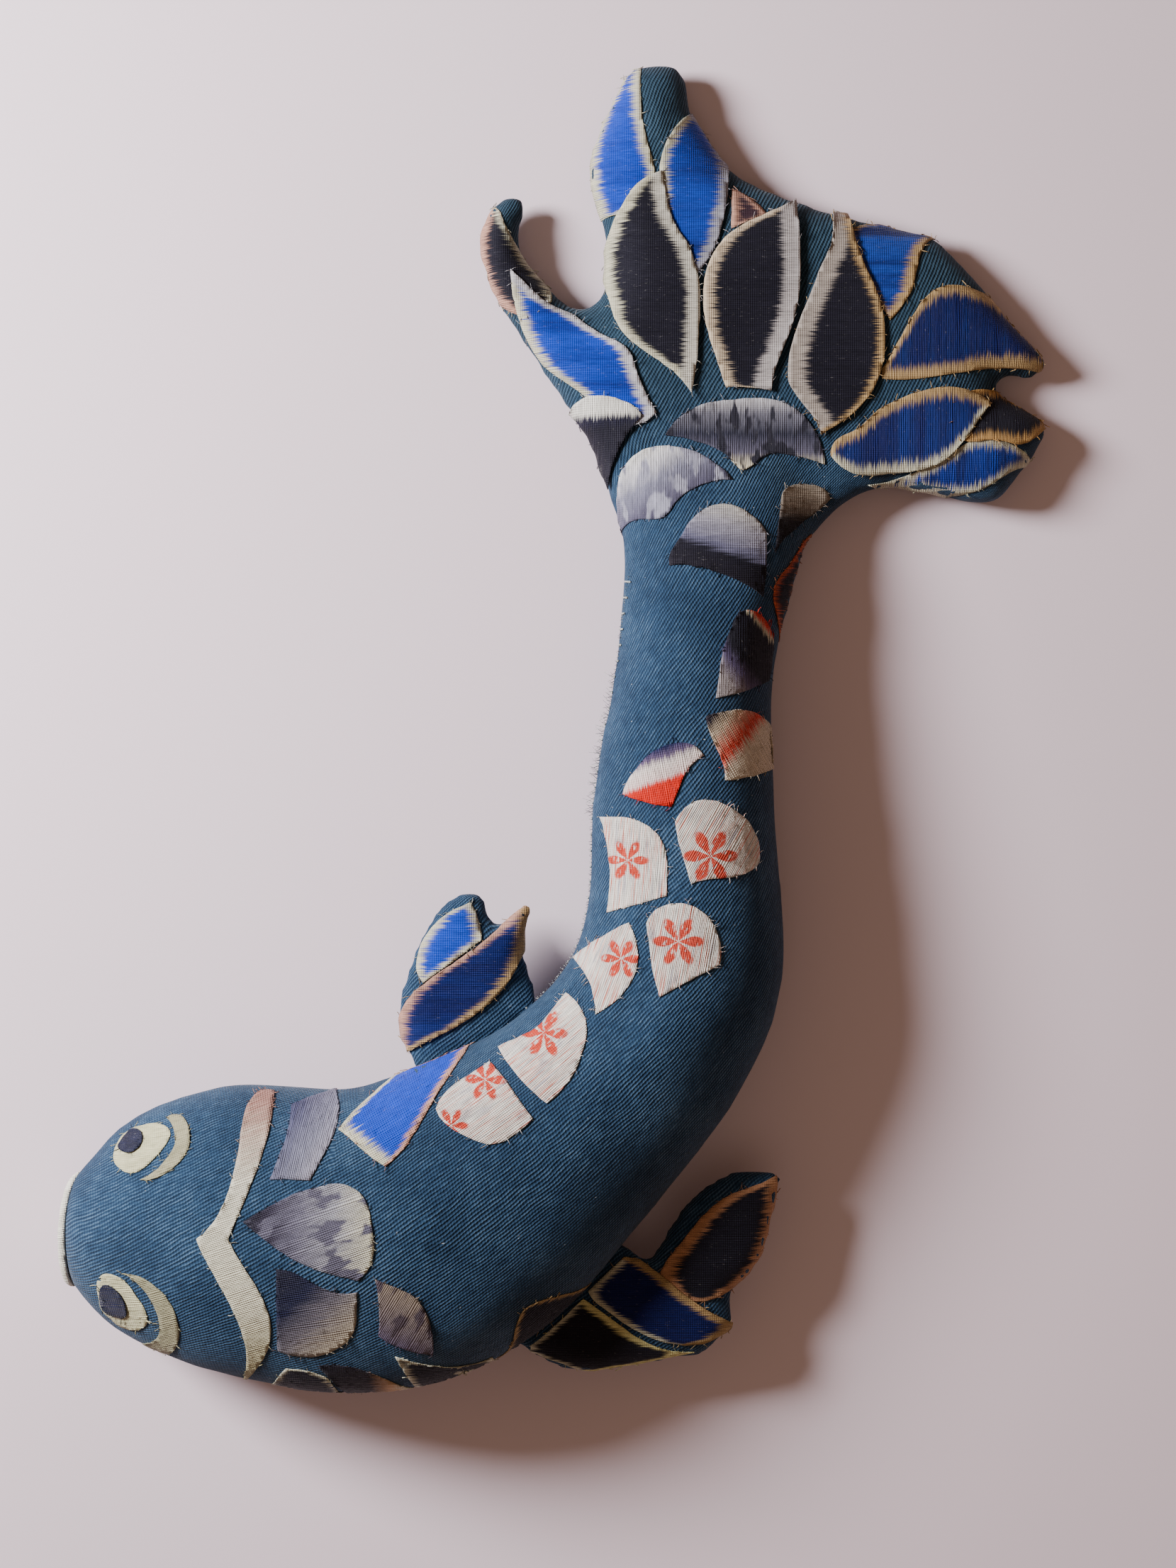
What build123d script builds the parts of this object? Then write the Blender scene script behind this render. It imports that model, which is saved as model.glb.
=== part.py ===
"""Stuffed cloth carp: twill body and tail, two sewn-on fins and silk patches, lying belly down."""
from build123d import *
from math import atan2, cos, radians, sin, tan
import os

os.makedirs("parts", exist_ok=True)

# ---- driving dimensions, in millimetres ----
CLOTH = 0.8                # thickness of the twill
SLACK = 0.1                # air between the cloth and the stuffing
SILK = 0.6                 # thickness of a silk patch with its backing
LAYER_STEP = 0.7           # from one patch layer to the next
FIRST_LAYER = 0.15         # gap between the twill and the lowest patch
LAYERS = 4
TAIL_THICKNESS = 14.0      # the padded tail lobes
TAIL_SEAM = TAIL_THICKNESS / 2
FIN_BOTTOM = 14.0          # the fins stand clear of the table
FIN_THICKNESS = 8.0
FIN_TOP = FIN_BOTTOM + FIN_THICKNESS
FIN_SEAM = (FIN_BOTTOM + FIN_TOP) / 2
HINGE = (38.0, 3.6)        # where the tail bends against the body, in plan
HINGE_GAP = 0.15           # half the gap at the middle of the bend
HINGE_RELIEF = 5.6         # degrees cut back on each side of the bend
FAR = 400.0                # larger than the object
SHARPEST = 0.4             # cosine that limits how far an inset corner moves
TAIL_BLOCK = (-40.0, 52.0, 200.0, 150.0)   # x, y, width and length of a block that holds the tail lobes

# Body sections from nose to tail web: x, y, half width, half height, height of the centre.
SECTIONS = [
    (-140.0, -146.0, 15.0, 10.0, 17.0),
    (-131.0, -146.4, 24.8, 16.5, 19.5),
    (-118.0, -145.9, 33.3, 21.5, 22.0),
    (-105.0, -145.4, 38.4, 25.0, 23.8),
    (-90.0, -145.0, 42.0, 27.0, 25.6),
    (-75.0, -146.4, 42.8, 27.8, 26.3),
    (-60.0, -147.4, 43.5, 28.0, 26.5),
    (-41.0, -143.7, 43.8, 28.0, 26.5),
    (-12.0, -127.0, 38.5, 26.0, 24.6),
    (9.5, -108.0, 33.0, 24.0, 22.7),
    (25.0, -90.0, 31.0, 23.0, 21.7),
    (33.0, -74.0, 30.0, 22.5, 21.2),
    (35.7, -52.0, 28.0, 21.5, 20.3),
    (35.1, -30.0, 26.9, 20.5, 19.4),
    (36.4, -8.0, 25.6, 19.5, 18.5),
    (38.6, 12.0, 24.0, 18.0, 17.0),
    (41.6, 32.0, 24.6, 15.5, 14.7),
    (44.3, 50.0, 27.7, 13.0, 12.4),
    (45.5, 66.0, 30.0, 10.2, 9.8),
    (45.5, 84.0, 26.0, 6.3, 7.2),
]

# Height of the side seam along y.
SEAM_LINE = [(-300.0, 20.0), (-60.0, 20.0), (20.0, 15.0), (70.0, 9.0), (95.0, TAIL_SEAM),
(300.0, TAIL_SEAM)]

# Edge of the tail lobes, as smooth runs that meet at corners.
TAIL_EDGE = [
    [(18.0, 54.0), (13.6, 65.3), (6.4, 81.7), (2.0, 86.5), (-10.9, 105.3), (-20.0, 119.8), (-25.2, 134.5),
     (-23.6, 145.6), (-18.2, 151.2), (-13.6, 153.7)],
    [(-13.6, 153.7), (-10.3, 149.8), (-12.6, 138.5), (-7.5, 128.6), (3.6, 117.8)],
    [(3.6, 117.8), (7.5, 118.8), (10.2, 121.5)],
    [(10.2, 121.5), (9.9, 139.8), (6.8, 158.0), (11.8, 175.3), (18.2, 189.8)],
    [(18.2, 189.8), (26.5, 191.6), (34.5, 192.6)],
    [(34.5, 192.6), (36.6, 186.2), (38.4, 175.3)],
    [(38.4, 175.3), (44.5, 168.9), (48.5, 161.8)],
    [(48.5, 161.8), (65.5, 153.5), (88.2, 147.0), (110.9, 141.9)],
    [(110.9, 141.9), (127.3, 122.6), (139.1, 109.8), (144.7, 101.7), (138.6, 98.5), (128.2, 99.4),
     (114.5, 95.3)],
    [(114.5, 95.3), (126.4, 94.6), (136.0, 90.2), (143.8, 85.7)],
    [(143.8, 85.7), (141.4, 78.9), (133.6, 70.3), (128.2, 61.2)],
    [(128.2, 61.2), (110.5, 63.9), (95.5, 66.0), (83.6, 62.4), (75.5, 54.0)],
    [(75.5, 54.0), (18.0, 54.0)],
]

LEFT_FIN_EDGE = [
    [(-45.0, -97.0), (-46.6, -87.0), (-43.3, -70.7), (-35.6, -55.1), (-25.6, -48.8), (-21.7, -49.8)],
    [(-21.7, -49.8), (-20.3, -56.0), (-20.2, -61.8)],
    [(-20.2, -61.8), (-13.0, -55.6), (-6.7, -51.2)],
    [(-6.7, -51.2), (-9.8, -63.0), (-9.1, -72.0)],
    [(-9.1, -72.0), (-11.0, -76.5), (-15.0, -78.2)],
    [(-15.0, -78.2), (-18.2, -81.0), (-21.0, -84.2)],
    [(-21.0, -84.2), (-45.0, -97.0)],
]
RIGHT_FIN_EDGE = [
    [(20.4, -151.0), (23.4, -154.0), (26.7, -156.2)],
    [(26.7, -156.2), (32.2, -148.5), (38.9, -140.7), (46.7, -134.0), (55.6, -129.6), (63.9, -130.1)],
    [(63.9, -130.1), (61.1, -141.8), (57.8, -152.9), (48.9, -162.9)],
    [(48.9, -162.9), (49.5, -168.0), (50.8, -172.9)],
    [(50.8, -172.9), (46.0, -176.9), (41.7, -181.5)],
    [(41.7, -181.5), (25.0, -184.4), (7.2, -187.0)],
    [(7.2, -187.0), (-3.0, -185.0), (-13.2, -182.6)],
    [(-13.2, -182.6), (20.4, -151.0)],
]

# Silk patches on the body: name -> (layer, corner indices, points in plan).
BODY_PATCHES = {
    "eye_whites": (1, (), [
        [(-124.4, -122.4), (-122.0, -117.2), (-116.7, -114.6), (-111.1, -113.8), (-108.2, -115.1),
         (-112.2, -122.9), (-119.4, -126.8)],
        [(-128.9, -160.7), (-125.6, -154.9), (-121.1, -155.7), (-117.2, -159.6), (-114.2, -168.5),
         (-120.6, -171.2), (-127.6, -166.6)]]),
    "eye_pupils": (2, (), [
        [(-123.0, -120.1), (-121.7, -117.9), (-118.3, -115.7), (-116.3, -116.6), (-118.9, -121.6)],
        [(-128.0, -160.7), (-126.1, -158.1), (-122.2, -159.6), (-120.6, -167.0), (-126.7, -166.2)]]),
    "eye_crescents": (1, (0, 4), [
        [(-109.4, -112.2), (-104.6, -111.6), (-101.8, -116.0), (-107.8, -125.9), (-115.6, -128.4),
         (-108.8, -123.2), (-106.1, -117.4)],
        [(-121.1, -154.3), (-111.1, -156.8), (-104.8, -167.5), (-107.6, -177.0), (-116.9, -175.5),
         (-110.9, -171.4), (-112.4, -161.0)]]),
    "collar_band": (1, (0, 4, 9, 12), [
        [(-79.7, -105.0), (-79.7, -114.0), (-81.7, -121.8), (-84.6, -130.0), (-90.0, -142.9),
         (-86.0, -149.8), (-80.4, -159.6), (-78.9, -170.7), (-83.0, -179.6), (-90.0, -188.0),
         (-86.6, -170.0), (-91.4, -157.6), (-98.9, -143.1), (-90.6, -131.6), (-87.6, -116.4),
         (-84.0, -105.0)]]),
    "shoulder_patch_lavender": (1, (0, 2, 6, 8), [
        [(-74.4, -108.1), (-67.8, -105.9), (-63.0, -105.0), (-61.1, -108.5), (-61.4, -113.5),
         (-63.9, -119.6),
         (-67.8, -127.0), (-73.3, -126.8), (-78.9, -126.9), (-76.1, -119.6), (-74.4, -112.9)]]),
    "back_petal_grey": (1, (0, 9), [
        [(-86.1, -138.2), (-78.9, -134.0), (-72.2, -130.7), (-65.6, -128.7), (-61.1, -127.9),
         (-55.6, -129.0),
         (-52.2, -132.9), (-50.8, -138.5), (-50.4, -147.6), (-54.4, -153.7), (-62.2, -151.8),
         (-70.0, -149.0), (-76.7, -145.1), (-82.2, -141.2)]]),
    "back_patch_black_grey": (1, (0, 3, 9), [
        [(-76.7, -150.7), (-71.6, -151.8), (-65.0, -155.4), (-54.8, -157.0), (-55.0, -162.9),
         (-56.1, -168.5),
         (-60.0, -172.9), (-65.6, -175.5), (-72.2, -175.7), (-77.2, -174.4), (-77.0, -164.0)]]),
    "flank_patch_brown_grey": (1, (0, 4, 6), [
        [(-50.0, -153.2), (-44.4, -155.7), (-38.9, -159.0), (-35.6, -165.0), (-34.8, -175.7),
         (-43.0, -173.4),
         (-49.4, -169.6), (-48.9, -161.8)]]),
    "lower_side_patch_front": (1, (0, 1, 3, 4), [
        [(-82.4, -189.0), (-75.4, -180.0), (-70.0, -180.4), (-63.8, -182.8), (-58.6, -195.0),
         (-70.0, -195.0)]]),
    "lower_side_patch_middle": (1, (0, 3, 4), [
        [(-66.2, -178.8), (-58.5, -178.8), (-50.8, -181.6), (-39.6, -189.0), (-54.6, -196.0),
         (-60.6, -186.8)]]),
    "lower_side_patch_rear": (1, (0, 3, 4, 5), [
        [(-45.0, -176.0), (-38.0, -178.4), (-30.0, -180.1), (-18.9, -178.4), (-16.5, -184.0),
         (-37.6, -192.0),
         (-41.6, -183.4)]]),
    "shoulder_leaf_blue": (1, (0, 5, 10), [
        [(-60.6, -114.0), (-55.6, -108.5), (-48.9, -102.9), (-42.2, -98.4), (-33.3, -94.2), (-23.9, -89.8),
         (-27.8, -96.2), (-33.3, -104.0), (-37.8, -111.8), (-43.3, -119.6), (-47.2, -123.1),
         (-50.6, -121.2),
         (-55.6, -117.4)]]),
    "blossom_scale_1": (1, (0, 4, 7), [
        [(-33.9, -108.5), (-31.1, -104.0), (-26.7, -100.7), (-22.2, -97.9), (-19.4, -96.0), (-16.7, -98.5),
         (-12.2, -104.0), (-7.2, -110.5), (-11.1, -114.0), (-18.9, -117.4), (-24.4, -115.7),
         (-30.0, -112.9)]]),
    "blossom_scale_2": (1, (0, 4, 9), [
        [(-17.0, -92.4), (-11.1, -89.6), (-5.6, -86.2), (-1.1, -80.9), (1.9, -77.4), (5.6, -80.7),
         (7.6, -86.2), (6.7, -91.8), (3.9, -98.5), (-3.3, -106.5), (-7.8, -102.9), (-13.3, -97.4)]]),
    "blossom_scale_3": (1, (0, 3, 7), [
        [(3.7, -67.9), (10.0, -62.9), (14.4, -60.1), (19.2, -57.4), (21.1, -61.8), (21.7, -68.5),
         (17.4, -77.0), (10.0, -82.7), (8.3, -74.0)]]),
    "blossom_scale_4": (1, (0, 5, 7, 8), [
        [(24.1, -57.6), (28.4, -52.8), (32.8, -52.0), (38.0, -53.3), (42.3, -57.6), (44.1, -68.9),
         (37.1, -72.4), (27.6, -77.6), (25.8, -70.7)]]),
    "blossom_scale_5": (1, (0, 6, 8), [
        [(11.5, -28.2), (15.4, -28.1), (21.5, -29.1), (25.8, -31.5), (28.9, -35.9), (29.9, -42.0),
         (29.7, -50.0), (21.5, -52.4), (13.2, -55.0), (14.2, -46.0), (13.7, -38.0)]]),
    "blossom_scale_6": (1, (0, 7, 10), [
        [(31.9, -29.4), (34.5, -25.9), (38.0, -23.7), (43.2, -23.7), (49.3, -26.8), (53.7, -31.5),
         (55.6, -37.6), (55.4, -41.1), (52.8, -43.3), (45.0, -45.0), (36.3, -46.8), (35.0, -42.0),
         (32.8, -34.1)]]),
    "red_fan_scale": (1, (0, 6, 9), [
        [(17.8, -22.0), (18.9, -18.5), (21.5, -14.6), (25.8, -10.2), (31.0, -7.9), (34.5, -7.6),
         (40.0, -11.1), (34.5, -16.8), (32.3, -22.0), (31.0, -25.3), (24.1, -24.1)]]),
    "striped_scale": (1, (0, 4, 6, 8), [
        [(40.6, -0.2), (45.0, 1.1), (51.0, 1.6), (55.4, 0.6), (60.6, -5.0), (60.8, -9.0), (60.2, -14.6),
         (53.7, -16.8), (46.0, -18.0), (45.0, -12.4), (42.8, -7.2)]]),
    "fin_root_leaf": (1, (0, 5), [
        [(-17.6, -179.6), (-12.2, -169.6), (-9.4, -163.5), (-5.6, -161.8), (2.2, -160.5), (8.6, -159.4),
         (6.0, -164.0), (-1.1, -171.0), (-8.9, -176.4)]]),
}

# Silk patches on the tail.
TAIL_PATCHES = {
    "tail_root_scale_red": (1, (0, 5, 7), [
        [(50.2, 28.9), (53.7, 29.8), (57.1, 28.0), (59.9, 23.2), (60.0, 17.2), (58.9, 10.2), (50.2, 6.6),
         (43.4, 4.8), (44.5, 11.9), (45.8, 18.9), (47.6, 24.1)]]),
    "tail_root_flank_leaf": (1, (0, 5), [
        [(71.9, 52.8), (69.3, 50.2), (65.0, 43.2), (60.4, 36.6), (61.4, 28.0), (62.2, 20.2),
         (65.8, 31.1), (68.9, 41.5),
         (71.2, 48.5)]]),
    "tail_root_corner_scale": (1, (4, 7), [
        [(63.4, 64.1), (66.7, 66.3), (71.9, 66.5), (75.4, 65.4), (77.3, 62.8), (71.0, 57.2), (65.8, 52.8),
         (60.6, 45.9), (61.9, 55.4), (62.6, 60.6)]]),
    "tail_root_collar_scale": (1, (0, 8, 10), [
        [(31.0, 42.5), (31.5, 46.7), (33.7, 50.2), (36.3, 54.5), (39.7, 58.0), (45.4, 60.1), (51.0, 58.9),
         (55.4, 55.9), (58.4, 51.9), (58.0, 41.5), (57.1, 33.7), (51.9, 37.2), (45.0, 40.2),
         (37.1, 42.4)]]),
    "tail_root_rim_scale": (1, (0, 9), [
        [(16.9, 52.2), (16.4, 64.4), (17.7, 70.7), (20.9, 74.8), (25.5, 77.1), (31.8, 77.3), (39.1, 75.3),
         (44.5, 71.7), (48.0, 68.6), (49.1, 67.3), (42.7, 66.7), (37.3, 64.4), (32.7, 60.7), (29.5, 56.6),
         (23.0, 56.2)]]),
    "tail_mottled_scale": (1, (0, 7), [
        [(30.0, 80.7), (33.6, 85.3), (40.0, 89.2), (49.1, 90.9), (58.2, 91.2), (65.5, 89.2), (71.6, 83.6),
         (75.5, 72.3), (65.5, 75.0), (58.2, 74.4), (51.8, 70.2), (47.3, 74.4), (40.9, 78.0)]]),
    "tail_white_band_scale": (3, (0, 5, 8), [
        [(2.8, 86.2), (4.5, 90.3), (8.2, 92.1), (14.5, 91.7), (20.9, 88.9), (23.4, 86.2), (19.0, 80.4),
         (15.8, 73.6), (14.6, 65.8), (11.4, 73.5), (7.3, 80.7)]]),
    "hook_lobe_blue_leaf": (2, (0, 8), [
        [(-14.4, 128.9), (-9.1, 123.5), (-3.6, 118.9), (3.6, 115.3), (10.9, 110.3),
         (19.5, 104.9), (21.8, 98.9),
         (24.5, 92.6), (27.5, 87.1), (20.9, 83.6), (6.8, 92.6), (-4.5, 101.7), (-9.1, 108.9),
         (-12.6, 118.0)]]),
    "hook_lobe_dark_leaf": (1, (0, 6), [
        [(-20.5, 148.0), (-18.2, 146.7), (-16.4, 142.6), (-13.2, 136.6), (-8.2, 128.9), (-3.4, 123.5),
         (-2.7, 119.6), (-11.8, 115.9), (-19.1, 121.4), (-23.2, 129.0), (-23.6, 139.0)]]),
    "top_lobe_left_leaf": (1, (0, 7), [
        [(23.6, 190.4), (18.7, 188.6), (15.5, 182.4), (12.2, 174.4), (9.2, 165.3),
         (8.6, 157.1), (9.7, 150.7),
         (11.6, 143.5), (27.0, 156.4), (24.5, 166.2), (23.0, 178.0)]]),
    "top_lobe_right_leaf": (2, (0, 3, 8), [
        [(37.7, 174.4), (32.7, 169.0), (29.5, 162.5), (28.4, 154.6), (40.5, 128.5), (44.1, 134.4),
         (46.8, 143.5), (48.0, 153.5), (47.9, 159.4), (43.9, 167.9)]]),
    "top_lobe_black_leaf": (3, (0, 10), [
        [(29.1, 156.2), (20.9, 151.2), (16.4, 143.5), (13.6, 135.3), (13.3, 126.2), (14.5, 118.9),
         (18.2, 109.8), (24.5, 104.4), (30.9, 99.8), (35.0, 96.0), (37.3, 92.6),
         (38.8, 100.7), (39.5, 109.8),
         (39.9, 120.7), (38.6, 128.9), (36.2, 135.4), (32.7, 140.8), (30.5, 148.1)]]),
    "middle_black_leaf": (4, (0, 7, 9), [
        [(67.3, 148.0), (54.5, 141.7), (48.2, 138.0), (43.8, 132.6), (41.2, 125.3), (40.9, 116.2),
         (43.2, 106.2), (47.3, 94.2), (53.0, 94.3), (60.3, 93.4), (63.6, 105.3),
         (66.4, 112.6), (68.0, 120.0),
         (68.6, 129.0), (68.2, 138.0)]]),
    "right_black_leaf": (3, (0, 9), [
        [(82.1, 149.0), (79.1, 146.4), (77.7, 137.1), (74.5, 128.9), (70.9, 119.8), (67.3, 110.7),
         (65.5, 103.5), (65.2, 96.2), (69.0, 90.0), (74.5, 80.7), (82.7, 86.2), (87.3, 90.7), (91.4, 98.5),
         (92.8, 108.0), (90.0, 122.6), (85.4, 133.4), (82.9, 143.5)]]),
    "small_pink_leaf": (1, (0, 2, 3), [
        [(49.1, 151.7), (54.4, 148.8), (59.1, 143.9), (48.9, 139.8)]]),
    "right_lobe_blue_leaf": (1, (0, 4, 8), [
        [(82.6, 139.2), (90.9, 142.1), (100.0, 141.7), (107.0, 141.0), (111.0, 139.8), (102.6, 130.9),
         (100.9, 123.5), (97.3, 117.1), (94.1, 113.5), (88.0, 124.0), (84.2, 132.0)]]),
    "right_lobe_navy_leaf": (1, (0, 10, 13), [
        [(91.8, 99.4), (97.3, 108.9), (101.8, 116.6), (106.4, 121.8), (111.8, 123.8), (118.2, 123.2),
         (126.4, 119.6), (132.0, 114.6), (136.6, 109.4), (138.7, 103.4), (138.9, 99.6), (128.2, 100.7),
         (106.4, 97.4), (91.8, 96.9)]]),
    "lower_lobe_navy_leaf": (3, (0, 6), [
        [(77.3, 74.6), (78.6, 79.1), (84.5, 82.3), (90.0, 87.1), (97.3, 91.2), (110.0, 94.4), (123.4, 89.8),
         (119.1, 84.4), (114.5, 78.0), (108.0, 72.6), (95.0, 70.3), (84.0, 69.9)]]),
    "lower_lobe_black_leaf": (2, (0, 3), [
        [(116.5, 93.4), (124.5, 94.1), (131.8, 91.8), (141.6, 86.1), (137.4, 81.6), (131.4, 78.4),
         (124.5, 79.4), (114.5, 79.4), (112.0, 86.0)]]),
    "lower_lobe_blue_leaf": (1, (0, 6), [
        [(88.2, 66.9), (101.8, 70.3), (111.8, 75.3), (117.3, 78.9), (123.6, 79.4), (130.9, 77.6),
         (136.6, 73.3), (126.4, 68.9), (120.0, 65.3), (110.9, 64.2), (104.5, 65.2), (96.0, 65.8)]]),
}

LEFT_FIN_PATCHES = {
    "left_fin_blue_leaf": (1, (0, 5, 6), [
        [(-25.6, -52.6), (-31.1, -55.4), (-35.6, -59.0), (-38.9, -64.0), (-40.6, -69.0), (-38.9, -75.4),
         (-22.4, -63.4), (-23.0, -58.5)]]),
    "left_fin_navy_leaf": (2, (0, 9), [
        [(-7.6, -52.4), (-12.4, -56.0), (-20.0, -62.4), (-30.0, -69.6), (-37.8, -75.1), (-43.3, -80.7),
         (-45.6, -87.4), (-45.4, -91.8), (-44.8, -94.2), (-42.8, -94.8), (-35.6, -91.0), (-27.8, -86.8),
         (-20.0, -80.9), (-14.4, -74.6), (-10.8, -66.2), (-9.0, -59.6)]]),
}
RIGHT_FIN_PATCHES = {
    "right_fin_black_leaf": (1, (0, 6), [
        [(61.7, -130.4), (55.6, -132.9), (46.7, -136.4), (41.1, -140.9), (35.6, -147.4), (31.4, -152.9),
         (28.3, -157.6), (36.7, -165.4), (46.7, -163.5), (53.3, -158.6), (58.9, -150.7), (61.1, -139.6)]]),
    "right_fin_navy_leaf": (2, (1, 6), [
        [(16.6, -153.4), (11.2, -158.0), (7.8, -162.0), (13.3, -168.1), (21.1, -173.4), (30.0, -177.0),
         (49.6, -172.7), (43.3, -169.0), (34.4, -162.9), (26.7, -157.0)]]),
    "right_fin_under_leaf": (1, (0, 2, 5, 7), [
        [(-9.8, -179.6), (-1.4, -172.4), (6.6, -164.9), (13.3, -169.6), (21.1, -175.2), (39.0, -180.2),
         (23.0, -183.4), (7.2, -186.0)]]),
}

LIP = dict(half_width=16.4, half_height=8.0, depth=3.6, rounding=1.4)


# ---- shared forms ----
def heading(index):
    """Angle of the spine at a section, from its neighbours."""
    before = SECTIONS[max(index - 1, 0)]
    after = SECTIONS[min(index + 1, len(SECTIONS) - 1)]
    return atan2(after[1] - before[1], after[0] - before[0])


def section_plane(index):
    """Upright plane across the spine, its x axis pointing to the fish's left side."""
    x, y, _, _, centre = SECTIONS[index]
    angle = heading(index)
    return Plane(origin=(x, y, centre), x_dir=(-sin(angle), cos(angle), 0), z_dir=(cos(angle), sin(angle), 0))


def tube(grow, ahead=0.0):
    """Body form, grown outwards; ahead carries its blunt nose further forward."""
    with BuildPart() as form:
        for index, (_, _, half_width, half_height, _) in enumerate(SECTIONS):
            with BuildSketch(section_plane(index).offset(-ahead if index == 0 else 0)):
                Ellipse(half_height + grow, half_width + grow, rotation=-90)
        loft()
    return form.part


def inset_runs(runs, amount):
    """The same closed outline, moved inwards; it runs clockwise or anticlockwise."""
    points = [point for run in runs for point in run[:-1]]
    count = len(points)
    area = sum(points[i - 1][0] * points[i][1] - points[i][0] * points[i - 1][1] for i in range(count))
    turn = 1 if area > 0 else -1
    moved = []
    for i, (x, y) in enumerate(points):
        back = Vector(x - points[i - 1][0], y - points[i - 1][1]).normalized()
        on = Vector(points[(i + 1) % count][0] - x, points[(i + 1) % count][1] - y).normalized()
        mean = (back + on).normalized()
        reach = amount / max(mean.dot(on), SHARPEST)
        moved.append((x - turn * reach * mean.Y, y + turn * reach * mean.X))
    inner = []
    start = 0
    for run in runs:
        stop = start + len(run) - 1
        inner.append([moved[i % count] for i in range(start, stop + 1)])
        start = stop
    return inner


def slab(runs, bottom, top, inset=0.0):
    """Plate with the outline given as smooth runs."""
    with BuildPart() as plate:
        with BuildSketch(Plane.XY.offset(bottom)):
            with BuildLine():
                for run in inset_runs(runs, inset) if inset else runs:
                    if len(run) > 2:
                        Spline(*run)
                    else:
                        Line(*run)
            make_face()
        extrude(amount=top - bottom)
    return plate.part


def outline_runs(points, corners):
    """Split a closed outline at its corners; with no corner it is one closed curve."""
    closed = points + [points[0]]
    if not corners:
        return [closed]
    rolled = points[corners[0]:] + points[:corners[0]] + [points[corners[0]]]
    stops = [corner - corners[0] for corner in corners] + [len(points)]
    return [rolled[a:b + 1] for a, b in zip(stops, stops[1:])]


def prism(points, corners, bottom):
    """Tall block with a patch's outline."""
    with BuildPart() as block:
        with BuildSketch(Plane.XY.offset(bottom)):
            with BuildLine():
                if corners:
                    for run in outline_runs(points, corners):
                        if len(run) > 2:
                            Spline(*run)
                        else:
                            Line(*run)
                else:
                    Spline(*points, periodic=True)
            make_face()
        extrude(amount=FAR / 4)
    return block.part


def relief(side):
    """Everything on one side of the bend: side +1 keeps clear of the tail, -1 of the body."""
    x, y = HINGE
    edge = y - side * HINGE_GAP
    drop = side * FAR * tan(radians(HINGE_RELIEF))
    with BuildPart() as block:
        with BuildSketch(Plane.XY.offset(-FAR / 2)):
            with BuildLine():
                Polyline((x, edge), (x - FAR, edge - drop), (x - FAR, y + side * FAR),
                         (x + FAR, y + side * FAR), (x + FAR, edge - drop), (x, edge))
            make_face()
        extrude(amount=FAR)
    return block.part


def layer_height(layer):
    return FIRST_LAYER + (layer - 1) * LAYER_STEP


def covered_form(grow, spread):
    """Body and tail together, grown outwards; spread widens the tail's block past its edge."""
    with BuildPart() as form:
        add(tube(grow, spread))
        with Locations((TAIL_BLOCK[0] - spread, TAIL_BLOCK[1], -spread)):
            Box(TAIL_BLOCK[2] + 2 * spread, TAIL_BLOCK[3] + spread, TAIL_THICKNESS + grow + spread,
                align=Align.MIN)
    return form.part


def padded_form(inset):
    """Closed form of body and tail, moved inwards, flat where it rests."""
    with BuildPart() as form:
        add(tube(-inset, -inset))
        add(slab(TAIL_EDGE, inset, TAIL_THICKNESS - inset, inset))
        with Locations((0, 0, inset)):
            Box(2 * FAR, 2 * FAR, FAR, align=(Align.CENTER, Align.CENTER, Align.MAX), mode=Mode.SUBTRACT)
    return form.part


def beside_seam(side):
    """Everything on one side of the seam, seen from the fish's side: +1 above it, -1 below it."""
    (first_y, first_z), (last_y, last_z) = SEAM_LINE[0], SEAM_LINE[-1]
    with BuildPart() as form:
        with BuildSketch(Plane.YZ.offset(-FAR)):
            with BuildLine():
                Polyline(*SEAM_LINE, (last_y, last_z + side * FAR), (first_y, first_z + side * FAR),
                         SEAM_LINE[0])
            make_face()
        extrude(amount=2 * FAR)
    return form.part


def seam_height(points):
    """Height a patch reaches down to: the body's middle at the nearest section."""
    x = sum(point[0] for point in points) / len(points)
    y = sum(point[1] for point in points) / len(points)
    nearest = min(SECTIONS, key=lambda section: (section[0] - x) ** 2 + (section[1] - y) ** 2)
    return nearest[4]


def finish_piece(piece, name):
    piece.label = name
    export_step(piece, f"parts/{name}.step")


# ---- twill panels and stuffing ----
beyond_bend = relief(+1)
before_bend = relief(-1)
filling = padded_form(CLOTH + SLACK)

with BuildPart() as skin:
    add(padded_form(0))
    add(padded_form(CLOTH), mode=Mode.SUBTRACT)

for end, cut in (("body", beyond_bend), ("tail", before_bend)):
    for side, panel_name in ((-1, "back_panel"), (+1, "belly_panel")):
        with BuildPart() as panel:
            add(skin.part)
            add(cut, mode=Mode.SUBTRACT)
            add(beside_seam(side), mode=Mode.SUBTRACT)
        finish_piece(panel.part, f"{end}_{panel_name}")
    with BuildPart() as stuffing:
        add(filling)
        add(cut, mode=Mode.SUBTRACT)
    finish_piece(stuffing.part, f"{end}_stuffing")

# ---- mouth lip ----
with BuildPart() as mouth_lip:
    nose = section_plane(0)
    with BuildSketch(nose.offset(-SLACK)):
        Ellipse(LIP["half_width"], LIP["half_height"])
    extrude(amount=-LIP["depth"])
    fillet(mouth_lip.faces().sort_by(Axis.X)[0].edges(), LIP["rounding"])
finish_piece(mouth_lip.part, "mouth_lip")

# ---- silk patches on body and tail ----
undersides = {layer: covered_form(layer_height(layer), SILK) for layer in range(1, LAYERS + 1)}
tops = {layer: covered_form(layer_height(layer) + SILK, 0) for layer in range(1, LAYERS + 1)}

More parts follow.
